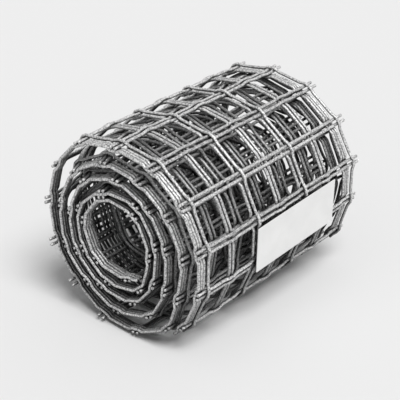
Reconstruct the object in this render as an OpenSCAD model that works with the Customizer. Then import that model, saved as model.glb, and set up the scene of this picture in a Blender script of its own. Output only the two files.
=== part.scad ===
// Short roll of crimped wire mesh lying on its side, with a blank card label on its outer turn.
// Millimetres. X runs along the roll and Z is up. The origin is on the surface that the roll
// lies on, at mid length and straight below the middle of its outer turn.
//
// The mesh stays straight between its pairs of cross wires and bends only at them, so the
// outer turn has straight sides, and the roll lies on one of them.

/* [Roll] */
// Outer diameter of the roll, over the straight sides of its outer turn
roll_d = 133; // [110:1:180]
// Number of straight sides round the outer turn, one between each two pairs of cross wires
outer_sides = 13; // [10:1:18]
// Diameter of the open bore inside the innermost turn
bore_d = 48; // [36:1:64]
// Width of the mesh along the roll, from one edge wire to the other
mesh_w = 156; // [100:1:400]
// Length of the cut cross wires that stick out past each edge wire
stub_len = 6; // [2:0.5:15]

/* [Turns] */
// Thickness of the crimped mesh, over its raised wires
mesh_t = 5; // [3:0.1:6.5]
// Least spacing from one turn to the next, from middle to middle of the mesh
turn_pitch = 8.2; // [7:0.1:12]
// Extra gap under the outer turn, which has sprung open
outer_gap = 3.5; // [3:0.1:12]
// How far the innermost turn has moved towards +Y from the middle of the outer turn
bore_shift = 2.5; // [0:0.5:9]
// How far the innermost turn has dropped below the middle of the outer turn
bore_drop = 0.5; // [0:0.5:8]

/* [Label] */
// Length of the label along the roll
label_w = 83; // [30:1:90]
// Height of the label, across the straight side that it lies on
label_h = 32.5; // [10:1:40]
// Thickness of the label card
label_t = 0.6; // [0.3:0.1:2]
// Distance from the roll's mid length to the label's middle
label_x = 14; // [-25:0.5:25]
// Straight side that carries the label, counted from the lowest one (0) up the -Y side
label_side = 3; // [2:1:4]

/* [Hidden] */
$fn = 96;
flat_r = roll_d / 2;
bore_r = bore_d / 2;
side_angle = 360 / outer_sides;
corner_r = flat_r / cos(side_angle / 2);
overall_len = mesh_w + 2 * stub_len;
cut_past = 1; // how far a cutting bar runs past the face that it opens

// Middle radius of the outer and of the innermost turn, and the room left for the even turns
outer_turn_r = flat_r - mesh_t / 2;
inner_turn_r = bore_r + mesh_t / 2;
turn_room = outer_turn_r - inner_turn_r - outer_gap;
gaps = max(1, floor(turn_room / turn_pitch));
even_pitch = turn_room / gaps;

// Middle radius of a turn: 0 is the innermost, and the last one has sprung out by outer_gap
function turn_r(turn) = inner_turn_r + turn * even_pitch + (turn == gaps ? outer_gap : 0);

// Share of the bore's move and drop that a turn has taken: all at the bore, none at the outside
function share(turn) = sqrt((outer_turn_r - turn_r(turn)) / (outer_turn_r - inner_turn_r));

// Puts a shape drawn around Z along X instead, on the axis of the outer turn
module along_roll(move_y = 0, drop = 0) {
    translate([0, move_y, flat_r - drop])
        rotate([0, 90, 0])
            children();
}

// Body of the roll, with the straight sides of its outer turn and one of them underneath
module sided_body() {
    corners = [for (side = [0:outer_sides - 1])
        let (angle = side_angle * (side + 0.5))
            [corner_r * cos(angle), corner_r * sin(angle)]];
    along_roll()
        linear_extrude(height = mesh_w, center = true)
            polygon(corners);
}

// One turn, as a ring that reaches the cut ends of the cross wires at both ends of the roll
module turn_ring(turn) {
    along_roll(bore_shift * share(turn), bore_drop * share(turn))
        difference() {
            cylinder(r = turn_r(turn) + mesh_t / 2, h = overall_len, center = true);
            cylinder(r = turn_r(turn) - mesh_t / 2, h = overall_len + cut_past, center = true);
        }
}

// The rolled mesh as one body with its bore, and its turns standing out at both ends
module mesh_roll() {
    color([0.47, 0.48, 0.49])
        difference() {
            union() {
                sided_body();
                for (turn = [0:gaps])
                    turn_ring(turn);
            }
            along_roll(bore_shift, bore_drop)
                cylinder(r = bore_r, h = overall_len + cut_past, center = true);
        }
}

// The blank card, flat on one straight side of the outer turn
module label() {
    color([0.96, 0.96, 0.95])
        translate([label_x, 0, flat_r])
            rotate([180 - label_side * side_angle, 0, 0])
                translate([0, 0, flat_r + label_t / 2])
                    cube([label_w, label_h, label_t], center = true);
}

mesh_roll();
label();
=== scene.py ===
# %% [markdown]
# # A roll of crimped wire mesh, made wire by wire
#
# The real object is a strip of steel screen mesh. Long wires run the whole length of the
# strip, cross wires run over its width, and each wire is crimped where it meets another, so
# the weave locks without any weld. The strip is rolled up into about five turns.
#
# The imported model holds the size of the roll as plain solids. Everything made below stays
# inside that size, and stands for those solids in the picture.

import math

import bpy
import numpy as np
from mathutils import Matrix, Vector


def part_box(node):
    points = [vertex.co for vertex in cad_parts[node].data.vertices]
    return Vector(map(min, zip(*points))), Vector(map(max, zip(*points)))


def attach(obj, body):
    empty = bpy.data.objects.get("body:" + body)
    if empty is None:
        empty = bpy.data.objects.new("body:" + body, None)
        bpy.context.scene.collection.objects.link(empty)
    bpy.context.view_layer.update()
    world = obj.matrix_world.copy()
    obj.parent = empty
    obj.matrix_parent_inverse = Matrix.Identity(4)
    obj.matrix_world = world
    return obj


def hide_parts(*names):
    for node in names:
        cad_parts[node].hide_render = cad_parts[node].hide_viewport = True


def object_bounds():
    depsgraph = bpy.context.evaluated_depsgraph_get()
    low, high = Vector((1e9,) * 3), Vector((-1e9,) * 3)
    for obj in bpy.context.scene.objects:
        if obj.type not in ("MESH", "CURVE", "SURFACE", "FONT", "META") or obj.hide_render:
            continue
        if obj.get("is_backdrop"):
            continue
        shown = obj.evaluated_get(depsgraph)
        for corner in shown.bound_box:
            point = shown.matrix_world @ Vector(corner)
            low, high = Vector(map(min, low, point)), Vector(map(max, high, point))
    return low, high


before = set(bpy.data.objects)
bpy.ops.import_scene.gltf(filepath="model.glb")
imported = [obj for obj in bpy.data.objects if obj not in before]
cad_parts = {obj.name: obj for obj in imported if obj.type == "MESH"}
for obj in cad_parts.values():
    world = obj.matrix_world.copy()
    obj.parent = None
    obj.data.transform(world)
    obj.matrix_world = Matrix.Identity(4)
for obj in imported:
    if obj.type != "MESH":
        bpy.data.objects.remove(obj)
CAD_LOW, CAD_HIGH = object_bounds()
print("nodes:", sorted(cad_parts))
print("size in mm:", [round(1000 * side, 1) for side in CAD_HIGH - CAD_LOW])

# %% [markdown]
# ## The camera
#
# The roll is seen from in front of its open end, from a little above. The lens is long, so the
# far end looks nearly as large as the near one. A camera in Blender looks along its own -Z
# axis, so it is easiest to give the direction back from the roll to the camera, and to let
# `to_track_quat` turn that into a rotation. A small shift of the lens frames the roll without
# turning the camera.

# %% Set the camera
MM = 0.001
AXIS_Z = 66.5 * MM  # height of the middle of the outer turn
CAMERA_AZIMUTH = math.radians(-50.6)
CAMERA_ELEVATION = math.radians(27.3)
CAMERA_DISTANCE = 933 * MM
AIM = Vector((1.8 * MM, 0, AXIS_Z))

back = Vector((
    math.sin(CAMERA_AZIMUTH) * math.cos(CAMERA_ELEVATION),
    -math.cos(CAMERA_AZIMUTH) * math.cos(CAMERA_ELEVATION),
    math.sin(CAMERA_ELEVATION),
))
camera_data = bpy.data.cameras.new("camera")
camera_data.lens = 126.2
camera_data.sensor_width = 36
camera_data.shift_x = -0.0106
camera_data.shift_y = -0.0180
camera = bpy.data.objects.new("camera", camera_data)
camera.location = AIM + CAMERA_DISTANCE * back
camera.rotation_mode = "QUATERNION"
camera.rotation_quaternion = back.to_track_quat("Z", "Y")
bpy.context.scene.collection.objects.link(camera)
bpy.context.scene.camera = camera
print("camera height in mm:", round(camera.location.z / MM))

# %% [markdown]
# ## Floor and light
#
# The roll lies on a plain pale floor in soft studio light. One wide sun, as broad as a large
# soft box, gives each wire a bright and a dim side and a soft shadow. The world around fills
# that shadow from all sides, like a white tent, and leaves the dark line where the roll meets
# the floor. A backdrop would have to be lit evenly. So the world is the backdrop: it shows its
# pale colour to the camera and in the steel, and lights the scene at a lower strength.

# %% Make the floor
PALE = (0.82, 0.82, 0.82, 1)
FLOOR_SIZE = 12

bpy.ops.mesh.primitive_plane_add(size=FLOOR_SIZE, location=(0, 0, 0))
floor = bpy.context.object
floor.name = "floor"
floor_paint = bpy.data.materials.new("floor_paint")
floor_paint.use_nodes = True
floor_shader = floor_paint.node_tree.nodes["Principled BSDF"]
floor_shader.inputs["Base Color"].default_value = PALE
floor_shader.inputs["Roughness"].default_value = 0.9
floor_shader.inputs["Specular IOR Level"].default_value = 0.1
floor.data.materials.append(floor_paint)
floor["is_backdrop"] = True
print("floor in metres:", FLOOR_SIZE)

# %% Light with the world
WORLD_LIGHT = 0.32
BACKDROP_LIGHT = 0.84

world = bpy.data.worlds.new("studio")
world.use_nodes = True
bpy.context.scene.world = world
nodes = world.node_tree.nodes
links = world.node_tree.links
rays = nodes.new("ShaderNodeLightPath")  # 1 where a ray shows the world, 0 where it only lights
seen = nodes.new("ShaderNodeMath")
seen.operation = "MAXIMUM"
links.new(rays.outputs["Is Camera Ray"], seen.inputs[0])
links.new(rays.outputs["Is Glossy Ray"], seen.inputs[1])
seen_or_through = nodes.new("ShaderNodeMath")
seen_or_through.operation = "MAXIMUM"
links.new(seen.outputs[0], seen_or_through.inputs[0])
links.new(rays.outputs["Is Transmission Ray"], seen_or_through.inputs[1])
strength = nodes.new("ShaderNodeMix")
strength.data_type = "FLOAT"
strength.inputs["A"].default_value = WORLD_LIGHT
strength.inputs["B"].default_value = BACKDROP_LIGHT
links.new(seen_or_through.outputs[0], strength.inputs["Factor"])
links.new(strength.outputs["Result"], nodes["Background"].inputs["Strength"])
nodes["Background"].inputs["Color"].default_value = (1, 1, 1, 1)
bpy.context.scene.view_settings.view_transform = "Standard"
print("world light:", WORLD_LIGHT, "as it is seen:", BACKDROP_LIGHT)

# %% Add a wide sun
SUN_STRENGTH = 2.65
SUN_ANGLE = math.radians(30)
SUN_FROM = Vector((-0.20, -0.48, 0.88))

sun_data = bpy.data.lights.new("wide_sun", "SUN")
sun_data.energy = SUN_STRENGTH
sun_data.angle = SUN_ANGLE
sun = bpy.data.objects.new("wide_sun", sun_data)
sun.rotation_mode = "QUATERNION"
sun.rotation_quaternion = SUN_FROM.to_track_quat("Z", "Y")
bpy.context.scene.collection.objects.link(sun)
print("sun strength:", SUN_STRENGTH)

# %% [markdown]
# ## The path of the rolled strip
#
# Looked at from its end, the strip is a spiral, but not an even one. The outer turn has
# sprung open, and the inner turns have settled a little off its middle. A spiral with one
# formula can't do that, and a curve drawn by hand would be hard to change later. Here each
# turn has its own radius and middle, and the strip passes from one turn to the next over a
# short stretch. That stretch always lies in the same place: where the free edge of the strip
# presses on it.
#
# Angles are in degrees from straight up towards -Y. The strip is followed from its free edge
# at the outside to its last wire in the bore.

# %% Give each turn its radius
TURNS = MM * np.array([  # radius, then how far the middle has moved along Y and Z
    (65.5, 0.0, 0.0),
    (52.6, -0.6, -1.4),
    (43.2, 1.6, -1.4),
    (35.4, 1.6, -1.6),
    (28.8, 2.6, 0.0),
])
FREE_EDGE_ANGLE = 133.5
STEP_STARTS = -18  # degrees from the free edge, where a turn begins to step inwards
STEP_ENDS = 34


def smooth_step(x):
    """0 up to x = 0, 1 from x = 1, and a smooth rise between them."""
    x = np.clip(x, 0, 1)
    return x * x * (3 - 2 * x)


def by_turn(turned, values):
    """Mixes one value for each turn into a value at each place where the strip has turned."""
    mixed = np.repeat(values[:1], len(turned), axis=0)
    for turn in range(1, len(values)):
        past = turned - 360 * turn
        share = smooth_step((past - STEP_STARTS) / (STEP_ENDS - STEP_STARTS))
        mixed += share[:, None] * (values[turn] - values[turn - 1])
    return mixed


print("turns:", len(TURNS), "outer radius in mm:", TURNS[0, 0] / MM)

# %% Follow the spiral
DEGREES_BEFORE_EDGE = 30
DEGREES_PAST_TURNS = 120
DEGREES_PER_STEP = 0.25


def spiral(turned):
    """Points (y, z) of the even spiral, in metres."""
    radius, move_y, move_z = by_turn(turned, TURNS).T
    angle = np.radians(FREE_EDGE_ANGLE - turned)
    return np.stack([
        move_y - radius * np.sin(angle),
        AXIS_Z + move_z + radius * np.cos(angle),
    ], axis=1)


last_turned = 360 * len(TURNS) + DEGREES_PAST_TURNS
turned_grid = np.arange(-DEGREES_BEFORE_EDGE, last_turned, DEGREES_PER_STEP)
grid_steps = np.linalg.norm(np.diff(spiral(turned_grid), axis=0), axis=1)
grid_length = np.concatenate([[0], np.cumsum(grid_steps)])
grid_length -= np.interp(0, turned_grid, grid_length)


def at_length(length):
    """Even spiral's points and outward normals at lengths of strip from the free edge."""
    turned = np.interp(length, grid_length, turned_grid)
    along = spiral(turned + 0.5) - spiral(turned - 0.5)  # over one degree
    along /= np.linalg.norm(along, axis=1)[:, None]
    outward = np.stack([-along[:, 1], along[:, 0]], axis=1)
    return spiral(turned), outward


turns_length = np.interp(360 * len(TURNS), turned_grid, grid_length)
print("strip in the five turns, in mm:", round(turns_length / MM))

# %% [markdown]
# ## Rows of cross wires
#
# Cross wires come in pairs. The strip bends at each pair and stays nearly straight between
# two pairs, so the roll is a polygon with thirteen sides, not a circle. A smooth spiral would
# look wrong at once. So the rows are placed first, at equal lengths of strip, and the path
# between two rows is mixed from the straight chord and a little of the curve. Inner turns are
# bent harder and are slightly rounder. No row sits exactly on the even spiral, because the
# wire keeps some of each bend, so every row has its own small bulge in or out.

# %% Place the rows
ROW_PITCH = 30.95 * MM  # along the outer turn
INNER_PITCH = 29.8 * MM  # along the inner turns
INNER_FROM_ROW = 14
STEP_LAG = 4 * MM  # strip that the first step inwards takes up
ROW_COUNT = 48
ROW_BULGE = MM * np.array([  # how far each row stands outside the even spiral, row by row
    3.0, 0.5, 0.5, 0.6, 0.0, -1.2, 1.7, 0.1, -1.4, -0.9, -1.4, 0.1, -0.8, -0.2,
    -1.8, 0.0, -1.7, -1.2, 1.5, 1.9, 0.7, 0.0, -2.2, 0.4, -0.6,
    -0.7, -1.1, -1.1, 0.8, 1.4, -0.6, -1.6, -1.3, 0.3,
    -1.6, -1.2, 0.6, -0.5, 1.0, -1.0, -0.6, 0.0, 0.6, -0.4, 0.3, 0.5, -0.4, 0.0,
])

row_numbers = np.arange(ROW_COUNT)
row_lengths = np.where(
    row_numbers < INNER_FROM_ROW,
    ROW_PITCH * row_numbers,
    ROW_PITCH * INNER_FROM_ROW - STEP_LAG + INNER_PITCH * (row_numbers - INNER_FROM_ROW),
)
print("rows:", ROW_COUNT, "length of the strip in mm:", round(row_lengths[-1] / MM))

# %% Give the strip its straight sides
PAIR_WIDTH = 3.8 * MM  # between the two cross wires of a row
OUTER_BOW = 0.05  # share of the curve that is left between two rows
INNER_BOW = 0.12

knot_lengths = (row_lengths[:, None] + PAIR_WIDTH * np.array([-0.5, 0.5])).ravel()
knot_bulge = np.repeat(ROW_BULGE, 2)
knot_points, knot_outward = at_length(knot_lengths)
knot_points = knot_points + knot_bulge[:, None] * knot_outward


def rolled_points(length):
    """Points and outward normals of the strip with its straight sides, at the near end."""
    left = np.clip(np.searchsorted(knot_lengths, length) - 1, 0, len(knot_lengths) - 2)
    share = (length - knot_lengths[left]) / (knot_lengths[left + 1] - knot_lengths[left])
    bulge = knot_bulge[left] + share * (knot_bulge[left + 1] - knot_bulge[left])
    share = share[:, None]
    chord = knot_points[left] * (1 - share) + knot_points[left + 1] * share
    curve, outward = at_length(length)
    curve = curve + bulge[:, None] * outward
    depth = np.clip(length / knot_lengths[-1], 0, 1)
    bow = (OUTER_BOW + (INNER_BOW - OUTER_BOW) * depth)[:, None]
    between_rows = (share >= 0) & (share <= 1)
    return chord + np.where(between_rows, bow, 0) * (curve - chord), outward


print("cross wires:", len(knot_lengths))

# %% [markdown]
# ## Loose turns
#
# Nothing ties the roll, so it isn't the same from end to end. Away from the near end the inner
# turns lean against the outer one at the back, and towards the far end they open out. The free
# edge wasn't rolled square either: its last rows run on a little at the far end, stand out
# there, and have slid along the roll. At the back of the outer turn the long wires have been
# pushed along the cross wires, so the cut ends stick out further there. These are small moves
# added to each point of the strip. A lattice modifier could do the same, but here each turn
# can move by its own share.

# %% Let the inner turns lean and open out
TIP_X = CAD_HIGH[0] - 0.25 * MM  # where the longest cross wires end
SIDE_LEAN = MM * np.array([7.0, 6.6])
LEAN_REACH = 26 * MM
LEAN_LOST = 0.6  # share of the lean that is gone at the far end
FLARE = 6.5 * MM
FLARE_TOWARDS = np.array([-0.82, 0.57])
FLARE_FROM = 20 * MM
LOOSENESS = np.array([[0], [1], [0.9], [0.6], [0.3]])  # of each turn, from the outside in


def facing(outward, direction, focus, offset):
    """1 where the strip faces a direction, falling smoothly to 0 where it faces away."""
    return smooth_step(focus * (outward @ direction) + offset)


def lean(length, outward, x):
    """How far the inner turns have moved at these lengths of strip, and x along the roll."""
    turned = np.interp(length, grid_length, turned_grid)
    loose = by_turn(turned, LOOSENESS)[:, 0]
    far = smooth_step((x - FLARE_FROM) / (TIP_X - FLARE_FROM))
    near = smooth_step((x + TIP_X) / LEAN_REACH) * (1 - LEAN_LOST * far)
    side = facing(outward, SIDE_LEAN / np.linalg.norm(SIDE_LEAN), focus=2, offset=-1)
    flare = facing(outward, FLARE_TOWARDS, focus=1.2, offset=0.75)
    leaned = (loose * near * side)[:, None] * SIDE_LEAN
    return leaned + (loose * far * flare)[:, None] * FLARE * outward


print("lean in mm:", round(np.linalg.norm(SIDE_LEAN) / MM, 1), "flare in mm:", FLARE / MM)

# %% Let the free edge run on
EDGE_ROWS = row_lengths[:5]  # the free edge and the four rows behind it
EDGE_RUNS_ON = MM * np.array([9.0, 6.2, 2.8, 0.6, 0.0])
EDGE_STANDS_OUT = MM * np.array([0.0, 0.4, 1.8, 1.2, 0.0])
EDGE_SLIDES = MM * np.array([3.0, 2.0, 1.0, 0.0, 0.0])
BEYOND_LABEL = 52 * MM


def free_edge(length, outward, x):
    """How far the last rows before the free edge have run on and stand out."""
    forward = np.stack([outward[:, 1], -outward[:, 0]], axis=1)
    runs_on = np.interp(length, EDGE_ROWS, EDGE_RUNS_ON) * ((x + TIP_X) / (2 * TIP_X)) ** 2
    out = smooth_step((x - BEYOND_LABEL) / (TIP_X - BEYOND_LABEL))
    out = out * np.interp(length, EDGE_ROWS, EDGE_STANDS_OUT)
    return runs_on[:, None] * forward + out[:, None] * outward


def slide(length):
    """How far the strip has slid along the roll."""
    return np.interp(length, EDGE_ROWS, EDGE_SLIDES)


print("the free edge runs on by mm:", EDGE_RUNS_ON[0] / MM)

# %% Let the long wires slide at the back
BACK_ROWS = row_lengths[6:13]  # down the back of the outer turn
BACK_SLIDES = MM * np.array([0.0, 1.5, 3.2, 3.8, 3.8, 2.5, 0.0])


def wires_slide(length):
    """How far the long wires lie along the roll from their place in the strip."""
    return slide(length) + np.interp(length, BACK_ROWS, BACK_SLIDES)


print("long wires slide at the back by mm:", BACK_SLIDES.max() / MM)

# %% [markdown]
# ## One wire
#
# A round wire is a ring of points swept along a path. Blender can do this with a bevelled
# curve. A mesh made here lets the cut ends be chamfered, as a shear leaves them, and lets each
# wire carry a tone of its own, which the material reads later. All wires of one kind are
# joined into one mesh, which stays light enough to turn and render quickly.

# %% Sweep a ring along a path
WIRE_D = 2.1 * MM
WIRE_SIDES = 10
CUT_CHAMFER = 0.25 * MM
CUT_FACE = 0.75  # width of a cut face, as a share of the wire
ring_angles = 2 * math.pi * np.arange(WIRE_SIDES) / WIRE_SIDES


def sweep(path, reference):
    """Ring points along a path. The reference is any direction that the path never takes."""
    ends = [
        path[0] + CUT_CHAMFER * (path[0] - path[1]) / np.linalg.norm(path[0] - path[1]),
        path[-1] + CUT_CHAMFER * (path[-1] - path[-2]) / np.linalg.norm(path[-1] - path[-2]),
    ]
    path = np.concatenate([ends[:1], path, ends[1:]])
    along = np.gradient(path, axis=0)
    along /= np.linalg.norm(along, axis=1)[:, None]
    first = np.cross(along, reference)
    first /= np.linalg.norm(first, axis=1)[:, None]
    second = np.cross(along, first)
    radius = np.full(len(path), WIRE_D / 2)
    radius[[0, -1]] *= CUT_FACE
    circle = (
        np.cos(ring_angles)[None, :, None] * first[:, None, :]
        + np.sin(ring_angles)[None, :, None] * second[:, None, :]
    )
    return path[:, None, :] + radius[:, None, None] * circle


print("wire in mm:", WIRE_D / MM, "sides:", WIRE_SIDES)

# %% Join wires into one mesh
SHARP_FROM = math.radians(50)


def wire_piece(name, wires, tones):
    """One object from a list of swept wires, with a tone for each wire."""
    points, faces, tone_values = [], [], []
    start = 0
    around = np.arange(WIRE_SIDES)
    after = (around + 1) % WIRE_SIDES
    for rings, tone in zip(wires, tones):
        count = len(rings)
        base = start + WIRE_SIDES * np.arange(count - 1)[:, None]
        quads = np.stack([
            base + around, base + after,
            base + WIRE_SIDES + after, base + WIRE_SIDES + around,
        ], axis=2)
        faces += quads.reshape(-1, 4).tolist()
        faces.append((start + around[::-1]).tolist())
        faces.append((start + WIRE_SIDES * (count - 1) + around).tolist())
        points.append(rings.reshape(-1, 3))
        tone_values.append(np.full(count * WIRE_SIDES, tone))
        start += count * WIRE_SIDES
    mesh = bpy.data.meshes.new(name)
    mesh.from_pydata(np.concatenate(points).tolist(), [], faces)
    mesh.shade_smooth()
    mesh.set_sharp_from_angle(angle=SHARP_FROM)
    tone_layer = mesh.attributes.new("wire_tone", "FLOAT", "POINT")
    tone_layer.data.foreach_set("value", np.concatenate(tone_values))
    piece = bpy.data.objects.new(name, mesh)
    bpy.context.scene.collection.objects.link(piece)
    triangles = sum(len(face) - 2 for face in faces)
    print(name, "wires:", len(wires), "triangles:", triangles)
    return piece


# %% [markdown]
# ## The weave
#
# Long wires also run in twos. In every second pair one wire passes over the cross wires and
# its partner passes under them. In the pairs between, both long wires pass under, and the
# cross wires rise over them. A wire is straight from crossing to crossing and has a short
# crimp at each one, so its height is a fixed value at the crossing and fades to another value
# beside it. The two edges of the strip have two more wires underneath, so four lie there side
# by side. A cloth or lattice tool would not know which wire goes over, so the heights are
# written down for each kind of wire.

# %% Place the pairs of long wires
CELL_WIDTH = 24.9 * MM
FIRST_PAIR_X = -77.0 * MM
EDGE_PAIRS_MOVE = MM * np.array([0.6, 2.5])  # the two edge pairs sit off the even spacing
LONG_PAIR_COUNT = 7
LONG_PAIR_GAP = 3.1 * MM
EDGE_GAP = 2.25 * MM
EDGE_WIRES = 2  # more wires underneath at each edge

pair_x = FIRST_PAIR_X + CELL_WIDTH * np.arange(LONG_PAIR_COUNT)
pair_x[[0, -1]] += EDGE_PAIRS_MOVE
is_locked = np.arange(LONG_PAIR_COUNT) % 2 == 0
bundle_low = pair_x - LONG_PAIR_GAP / 2
bundle_low[[0, -1]] -= EDGE_WIRES * EDGE_GAP
bundle_high = pair_x + LONG_PAIR_GAP / 2
print("pairs of long wires at mm:", (pair_x / MM).round(1))

# %% Set the heights of the long wires
CRIMP_REACH = 5.0 * MM
HEIGHTS = {  # at a row of cross wires, and between two rows
    "over": (0.6 * WIRE_D, 0.1 * WIRE_D),
    "under": (-1.4 * WIRE_D, -0.45 * WIRE_D),
    "carried": (-0.55 * WIRE_D, -0.1 * WIRE_D),
}


def crimp_share(length):
    """1 at a row of cross wires, falling to 0 between two rows."""
    after = np.clip(np.searchsorted(row_lengths, length), 1, ROW_COUNT - 1)
    away = np.minimum(
        np.abs(length - row_lengths[after - 1]),
        np.abs(length - row_lengths[after]),
    )
    return smooth_step(1 - (away - PAIR_WIDTH / 2) / CRIMP_REACH)


def long_height(kind, length):
    """How far a long wire lies outside the middle of the mesh."""
    at_row, between = HEIGHTS[kind]
    return between + (at_row - between) * crimp_share(length)


for kind, (at_row, between) in HEIGHTS.items():
    print(kind, "at a row, mm:", round(at_row / MM, 1), "between:", round(between / MM, 1))

# %% Choose where a long wire needs a ring
# Between two rows the rings stand closer near the rows, where the crimps are.
row_fractions = np.array([
    0, 0.03, 0.07, 0.12, 0.17, 0.24, 0.38, 0.5, 0.62, 0.76, 0.83, 0.88, 0.93, 0.97,
])
pair_fractions = np.array([0, 0.2, 0.5, 0.8])
END_PAST_ROW = 7 * MM

steps = [np.array([knot_lengths[0] - END_PAST_ROW, knot_lengths[0] - 0.5 * END_PAST_ROW])]
for knot in range(len(knot_lengths) - 1):
    low, high = knot_lengths[knot], knot_lengths[knot + 1]
    fractions = pair_fractions if knot % 2 == 0 else row_fractions
    steps.append(low + fractions * (high - low))
steps.append(knot_lengths[-1] + END_PAST_ROW * np.array([0, 0.5, 1]))
long_steps = np.concatenate(steps)
print("rings on each long wire:", len(long_steps))

# %% Make the long wires
WOBBLE = 0.2 * MM
WOBBLE_WAVES = (25, 80)  # shortest and longest, in mm
rng = np.random.default_rng(65)
rolled, long_outward = rolled_points(long_steps)


def long_wire(x, kind):
    """One long wire at its place across the strip, a little off its straight line."""
    moved = lean(long_steps, long_outward, x) + free_edge(long_steps, long_outward, x)
    height = long_height(kind, long_steps)
    section = rolled + moved + height[:, None] * long_outward
    waves = 2 * math.pi / (MM * rng.uniform(*WOBBLE_WAVES, 3)[:, None])
    phases = rng.uniform(0, 2 * math.pi, 3)[:, None]
    wobble = WOBBLE * np.mean(np.sin(waves * long_steps + phases), axis=0)
    path = np.column_stack([x + wires_slide(long_steps) + wobble, section])
    return sweep(path, np.array([1.0, 0, 0]))


over_wires, under_wires, carried_wires = [], [], []
for column in range(LONG_PAIR_COUNT):
    if is_locked[column]:
        over_wires.append(long_wire(pair_x[column] + LONG_PAIR_GAP / 2, "over"))
        under_wires.append(long_wire(pair_x[column] - LONG_PAIR_GAP / 2, "under"))
    else:
        carried_wires.append(long_wire(pair_x[column] - LONG_PAIR_GAP / 2, "carried"))
        carried_wires.append(long_wire(pair_x[column] + LONG_PAIR_GAP / 2, "carried"))
for column in (0, LONG_PAIR_COUNT - 1):
    for extra in range(EDGE_WIRES):
        under_wires.append(long_wire(bundle_low[column] + extra * EDGE_GAP, "under"))

wire_groups = [
    wire_piece("long_wires_over", over_wires, rng.uniform(0, 1, len(over_wires))),
    wire_piece("long_wires_under", under_wires, rng.uniform(0, 1, len(under_wires))),
    wire_piece("long_wires_carried", carried_wires, rng.uniform(0, 1, len(carried_wires))),
]

# %% Make the cross wires
CROSS_AT_LOCKED = -0.4 * WIRE_D  # under the raised wire of a locked pair
CROSS_AT_FREE = 0.45 * WIRE_D
TIP_SHORTER = 0.6 * MM  # at most, as the shear doesn't cut them all alike
CROSS_RINGS = 110


def cross_height(x):
    """A cross wire is straight, with a crimp up or down at each pair of long wires."""
    column = np.clip(np.round((x - pair_x[0]) / CELL_WIDTH), 0, LONG_PAIR_COUNT - 1)
    column = column.astype(int)
    away = np.maximum(bundle_low[column] - x, x - bundle_high[column])
    crimp = smooth_step(1 - away / CRIMP_REACH)
    return np.where(is_locked[column], CROSS_AT_LOCKED, CROSS_AT_FREE) * crimp


def cross_wire(knot):
    """One cross wire, from tip to tip."""
    tips = TIP_X - CUT_CHAMFER - rng.uniform(0, TIP_SHORTER, 2)
    at_knot = knot_lengths[knot:knot + 1]
    x = np.linspace(slide(at_knot)[0] - tips[0], tips[1], CROSS_RINGS)
    outward = np.tile(knot_outward[knot], (CROSS_RINGS, 1))
    length = np.full(CROSS_RINGS, knot_lengths[knot])
    moved = lean(length, outward, x) + free_edge(length, outward, x)
    height = cross_height(x - wires_slide(at_knot))
    section = knot_points[knot] + moved + height[:, None] * outward
    path = np.column_stack([x, section])
    return sweep(path, np.array([0, *knot_outward[knot]]))


cross_wires = [cross_wire(knot) for knot in range(len(knot_lengths))]
half = len(cross_wires) // 2
wire_groups += [
    wire_piece("cross_wires_outer", cross_wires[:half], rng.uniform(0, 1, half)),
    wire_piece("cross_wires_inner", cross_wires[half:], rng.uniform(0, 1, half)),
]

# %% [markdown]
# ## Steel
#
# The wire is bare drawn steel: mid grey, with fine dark specks left by the drawing die. No
# two wires come from the same place on the coil, so each has its own tone. An image texture
# would need the wires unwrapped. Fine noise in three dimensions needs no unwrapping and mixes
# two greys, moves the roughness and raises a small bump. Deep in the roll the wires see little
# of the room. An ambient occlusion node finds those places and darkens the steel's colour
# there: this is painted shade, added to the shade that the lamps cast.

# %% Helpers that make a material and its pattern
def new_material(name):
    """An empty material, with its node tree and its shader."""
    material = bpy.data.materials.new(name)
    material.use_nodes = True
    return material, material.node_tree, material.node_tree.nodes["Principled BSDF"]


def noise(tree, scale, detail):
    """Noise that fills space, so it needs no unwrapping."""
    place = tree.nodes.new("ShaderNodeTexCoord")
    node = tree.nodes.new("ShaderNodeTexNoise")
    node.inputs["Scale"].default_value = scale
    node.inputs["Detail"].default_value = detail
    tree.links.new(place.outputs["Object"], node.inputs["Vector"])
    return node.outputs["Fac"]


def ramp(tree, value, *stops):
    """A colour for each value, from stops of position and colour."""
    node = tree.nodes.new("ShaderNodeValToRGB")
    for element, (position, colour) in zip(node.color_ramp.elements, stops):
        element.position = position
        element.color = colour
    tree.links.new(value, node.inputs["Fac"])
    return node.outputs["Color"]


print("helpers:", new_material.__name__, noise.__name__, ramp.__name__)

# %% Helpers that use a pattern
RANGE_SOCKETS = ("From Min", "From Max", "To Min", "To Max")


def remap(tree, value, to_range, from_range=(0, 1)):
    """A value moved from one range to another."""
    node = tree.nodes.new("ShaderNodeMapRange")
    for socket, number in zip(RANGE_SOCKETS, from_range + to_range):
        node.inputs[socket].default_value = number
    tree.links.new(value, node.inputs["Value"])
    return node.outputs["Result"]


def bump(tree, height, strength, distance):
    """A normal that makes a small relief from a height."""
    node = tree.nodes.new("ShaderNodeBump")
    node.inputs["Strength"].default_value = strength
    node.inputs["Distance"].default_value = distance
    tree.links.new(height, node.inputs["Height"])
    return node.outputs["Normal"]


print("helpers:", remap.__name__, bump.__name__)

# %% Mix the greys of the steel
GRAIN_SCALE = 1100
DARK_STEEL = (0.21, 0.21, 0.215, 1)
BRIGHT_STEEL = (0.74, 0.74, 0.735, 1)

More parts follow.
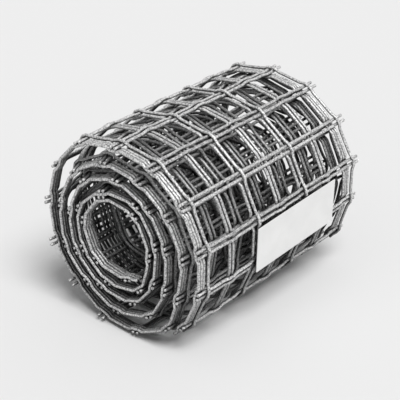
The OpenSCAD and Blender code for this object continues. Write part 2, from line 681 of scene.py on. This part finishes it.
steel, steel_tree, steel_shader = new_material("steel_wire")
steel_shader.inputs["Metallic"].default_value = 0.35
steel_shader.inputs["Specular IOR Level"].default_value = 0.3
grain = noise(steel_tree, GRAIN_SCALE, detail=3)
grey = ramp(steel_tree, grain, (0.36, DARK_STEEL), (0.59, BRIGHT_STEEL))
roughness = remap(steel_tree, grain, to_range=(0.32, 0.55))
relief = bump(steel_tree, grain, strength=0.5, distance=0.2 * MM)
steel_tree.links.new(roughness, steel_shader.inputs["Roughness"])
steel_tree.links.new(relief, steel_shader.inputs["Normal"])
print("grain size in mm:", round(1 / GRAIN_SCALE / MM, 1))

# %% Paint shade onto the steel deep in the roll
OPEN_AIR_REACH = 90 * MM

# Painted shade: the ambient occlusion darkens the steel's colour where wires lie hidden deep in
# the roll.
open_air = steel_tree.nodes.new("ShaderNodeAmbientOcclusion")
open_air.samples = 8
open_air.inputs["Distance"].default_value = OPEN_AIR_REACH
painted_shade = remap(steel_tree, open_air.outputs["AO"], to_range=(0.04, 1.0), from_range=(0.2, 0.75))
wire_tone = steel_tree.nodes.new("ShaderNodeAttribute")
wire_tone.attribute_name = "wire_tone"
tone = remap(steel_tree, wire_tone.outputs["Fac"], to_range=(0.86, 1.12))
shade = steel_tree.nodes.new("ShaderNodeMath")
shade.operation = "MULTIPLY"
steel_tree.links.new(painted_shade, shade.inputs[0])
steel_tree.links.new(tone, shade.inputs[1])
darkened = steel_tree.nodes.new("ShaderNodeMix")
darkened.data_type = "RGBA"
darkened.blend_type = "MULTIPLY"
darkened.inputs["Factor"].default_value = 1
steel_tree.links.new(grey, darkened.inputs["A"])
steel_tree.links.new(shade.outputs["Value"], darkened.inputs["B"])
steel_tree.links.new(darkened.outputs["Result"], steel_shader.inputs["Base Color"])

for group in wire_groups:
    group.data.materials.append(steel)
    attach(group, "root")
    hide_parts("mesh_roll")
print("pieces of steel:", len(wire_groups))

# %% [markdown]
# ## The label
#
# A blank white card lies against one side of the outer turn. It could be a thin box, but a
# box stays dead flat. It is made as a grid of points on a plane just outside the crimps, bowed
# a little between its ends, and then given its thickness by a Solidify modifier. The corners
# are nearly square, and their points are pulled in by just enough to take the sharpness off.
# The card is left bare: it carries no print.

# %% Place the label card
label_low, label_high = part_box("label")
CARD_WIDTH = label_high[0] - label_low[0] - 0.2 * MM
CARD_HEIGHT = 32.3 * MM
CARD_FACE = math.radians(93.5)  # the way it faces, from straight up towards -Y
CARD_TURNED = math.radians(2.0)  # on that face
CARD_FROM_AXIS = 67.6 * MM
CARD_MIDDLE_X = (label_low[0] + label_high[0]) / 2 - 0.1 * MM
CARD_SLIDES_DOWN = 2.0 * MM

out = Vector((0, -math.sin(CARD_FACE), math.cos(CARD_FACE)))
up = Vector((0, math.cos(CARD_FACE), math.sin(CARD_FACE)))
right = Vector((1, 0, 0))
card_middle = CARD_FROM_AXIS * out + Vector((CARD_MIDDLE_X, 0, AXIS_Z)) - CARD_SLIDES_DOWN * up
card_right = math.cos(CARD_TURNED) * right + math.sin(CARD_TURNED) * up
card_up = math.cos(CARD_TURNED) * up - math.sin(CARD_TURNED) * right
print("middle of the card in mm:", [round(value / MM, 1) for value in card_middle])

# %% Round the corners of the card
CORNER_RADIUS = 0.6 * MM


def round_corner(u, v):
    """Pulls a point of a flat card in, so that its corners are round."""
    inner_u = CARD_WIDTH / 2 - CORNER_RADIUS
    inner_v = CARD_HEIGHT / 2 - CORNER_RADIUS
    past_u = max(abs(u) - inner_u, 0)
    past_v = max(abs(v) - inner_v, 0)
    far = math.hypot(past_u, past_v)
    if past_u == 0 or past_v == 0 or far == 0:
        return u, v
    keep = max(past_u, past_v) / far
    return (
        math.copysign(inner_u + past_u * keep, u),
        math.copysign(inner_v + past_v * keep, v),
    )


def card_steps(size, count):
    """Even steps over the card, with closer ones at each end for the corners."""
    half = size / 2
    near_end = [half - CORNER_RADIUS * part for part in (1.0, 0.75, 0.5, 0.25, 0.0)]
    middle = np.linspace(-near_end[0], near_end[0], count)[1:-1].tolist()
    return [-value for value in near_end[::-1]] + middle + near_end


print("corner radius in mm:", CORNER_RADIUS / MM)

# %% Make the label card
CARD_THICKNESS = 0.4 * MM
CARD_BOW = 0.15 * MM
CARD_COLUMNS = 48
CARD_ROWS = 20

across = card_steps(CARD_WIDTH, CARD_COLUMNS)
upward = card_steps(CARD_HEIGHT, CARD_ROWS)
card_points = []
for v in upward:
    for u in across:
        flat_u, flat_v = round_corner(u, v)
        bow = CARD_BOW * (1 - (2 * flat_u / CARD_WIDTH) ** 2)
        card_points.append(card_middle + flat_u * card_right + flat_v * card_up - bow * out)
faces = []
for row in range(len(upward) - 1):
    for column in range(len(across) - 1):
        first = row * len(across) + column
        faces.append((first, first + 1, first + len(across) + 1, first + len(across)))
card_mesh = bpy.data.meshes.new("label_card")
card_mesh.from_pydata(card_points, [], faces)
card = bpy.data.objects.new("label_card", card_mesh)
bpy.context.scene.collection.objects.link(card)
thickness = card.modifiers.new("thickness", "SOLIDIFY")
thickness.thickness = CARD_THICKNESS
print("card in mm:", round(CARD_WIDTH / MM), "by", round(CARD_HEIGHT / MM))

# %% [markdown]
# ## The card's surface
#
# The card is smooth and nearly white, with a satin face. Paper is never one even tone: fine
# fibres and slow clouds show in it, and it is a little duller where it has been handled. A
# scanned paper would need an image. Here a slow noise mixes two whites that lie close
# together, and a fine noise moves the roughness and raises a very faint bump.

# %% Mix the card
DULL_WHITE = (0.80, 0.80, 0.795, 1)
CLEAN_WHITE = (0.86, 0.86, 0.855, 1)

card_paint, card_tree, card_shader = new_material("label_card")
clouds = noise(card_tree, scale=60, detail=4)
fibres = noise(card_tree, scale=2500, detail=2)
white = ramp(card_tree, clouds, (0.30, DULL_WHITE), (0.70, CLEAN_WHITE))
satin = remap(card_tree, fibres, to_range=(0.38, 0.6))
fibre_relief = bump(card_tree, fibres, strength=0.12, distance=0.03 * MM)
card_tree.links.new(white, card_shader.inputs["Base Color"])
card_tree.links.new(satin, card_shader.inputs["Roughness"])
card_tree.links.new(fibre_relief, card_shader.inputs["Normal"])
card.data.materials.append(card_paint)
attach(card, "root")
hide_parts("label")
print("nodes in the card's material:", len(card_tree.nodes))

# %% [markdown]
# ## Two sizes
#
# The last cell measures the box around the pieces made here, as the first cell measured the
# imported model. The pieces have to stay inside the model.

# %% Measure the pieces
low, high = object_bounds()
